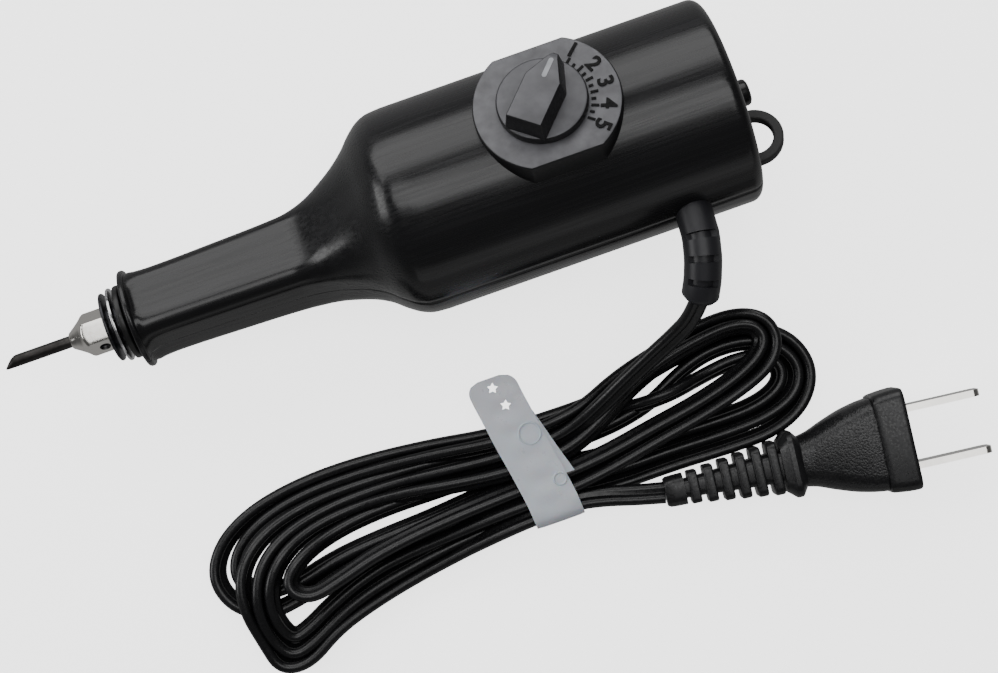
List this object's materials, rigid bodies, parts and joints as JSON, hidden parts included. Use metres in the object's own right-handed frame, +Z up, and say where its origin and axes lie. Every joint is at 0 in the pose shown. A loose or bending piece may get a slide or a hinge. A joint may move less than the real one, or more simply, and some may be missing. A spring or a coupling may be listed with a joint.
{
  "type": "wood burning pen",
  "caption": "Mains wood burning pen with a thick barrel, slim grip, heat dial, rod tip in a hexagonal holder, and a flat cord folded into a strapped hank with its plug.",
  "frame": {"origin": "on the table, under the middle of the pen's own box without its cord", "axes": "+X along the pen from the tip to the rear face, +Z up from the table, the cord leaves on the -Y side and the dial leans 24 degrees to +Y"},
  "size_m": [0.197, 0.1161, 0.0545],
  "materials": {
    "black_plastic": "gloss moulded, fine streaks",
    "dark_nylon": "moulded nylon",
    "knob_plastic": "satin moulded",
    "nickel": "nickel plated",
    "dark_steel": "heat-darkened",
    "steel": "zinc plated",
    "chrome": "bright plated",
    "black_disc": "phenolic",
    "ceramic": "unglazed",
    "resistance_wire": "oxidised wire",
    "mica": "rolled mica",
    "wire_sleeve": "glass-fibre sleeving",
    "wire_cover": "insulated wire",
    "pot_case": "phenolic",
    "brass": "turned",
    "board": "paper-phenolic laminate",
    "film_case": "dipped",
    "resistor_body": "coated",
    "clamp_plastic": "nylon",
    "cord_rubber": "satin vinyl",
    "bushing_rubber": "satin",
    "clear_vinyl": "milky translucent vinyl",
    "plug_plastic": "moulded, leather-grained grip"
  },
  "bodies": {
    "pen": {"dial_half_shell": "black_plastic", "back_half_shell": "black_plastic", "hanging_loop": "dark_nylon", "tip_holder": "nickel", "plug_blades": "nickel", "burning_tip": "dark_steel", "grub_screw": "dark_steel", "front_baffle": "dark_steel", "housing_screws": "steel", "board_screws": "steel", "cord_clamp_screw": "steel", "heater_tube": "steel", "heater_clip": "steel", "pot_nut": "steel", "pot_washer": "steel", "pot_terminals": "steel", "baffle_spacers": "steel", "middle_baffle": "chrome", "rear_baffle": "black_disc", "heater_core": "ceramic", "heater_mount": "ceramic", "heater_winding": "resistance_wire", "mica_sleeve": "mica", "heater_leads": "wire_sleeve", "pot_leads": "wire_cover", "pot_body": "pot_case", "triac": "pot_case", "diac": "pot_case", "pot_bushing": "brass", "circuit_board": "board", "timing_capacitor": "film_case", "resistors": "resistor_body", "cord_clamp": "clamp_plastic", "cord_lead": "cord_rubber", "cord_hank": "cord_rubber", "cord_tail": "cord_rubber", "cord_inner": "cord_rubber", "cord_bushing": "bushing_rubber", "cord_tie": "clear_vinyl", "plug_body": "plug_plastic"},
    "dial": {"control_knob": "knob_plastic", "knob_spring_clip": "steel", "pot_shaft": "steel", "pot_wiper": "pot_case"}
  },
  "joints": [
    {"name": "dial_turn", "type": "hinge", "parent": "pen", "child": "dial", "pos_m": [0.0389, 0.00988, 0.0447], "axis": [0, -0.4067, -0.9135], "range_deg": [0, 90]}
  ]
}
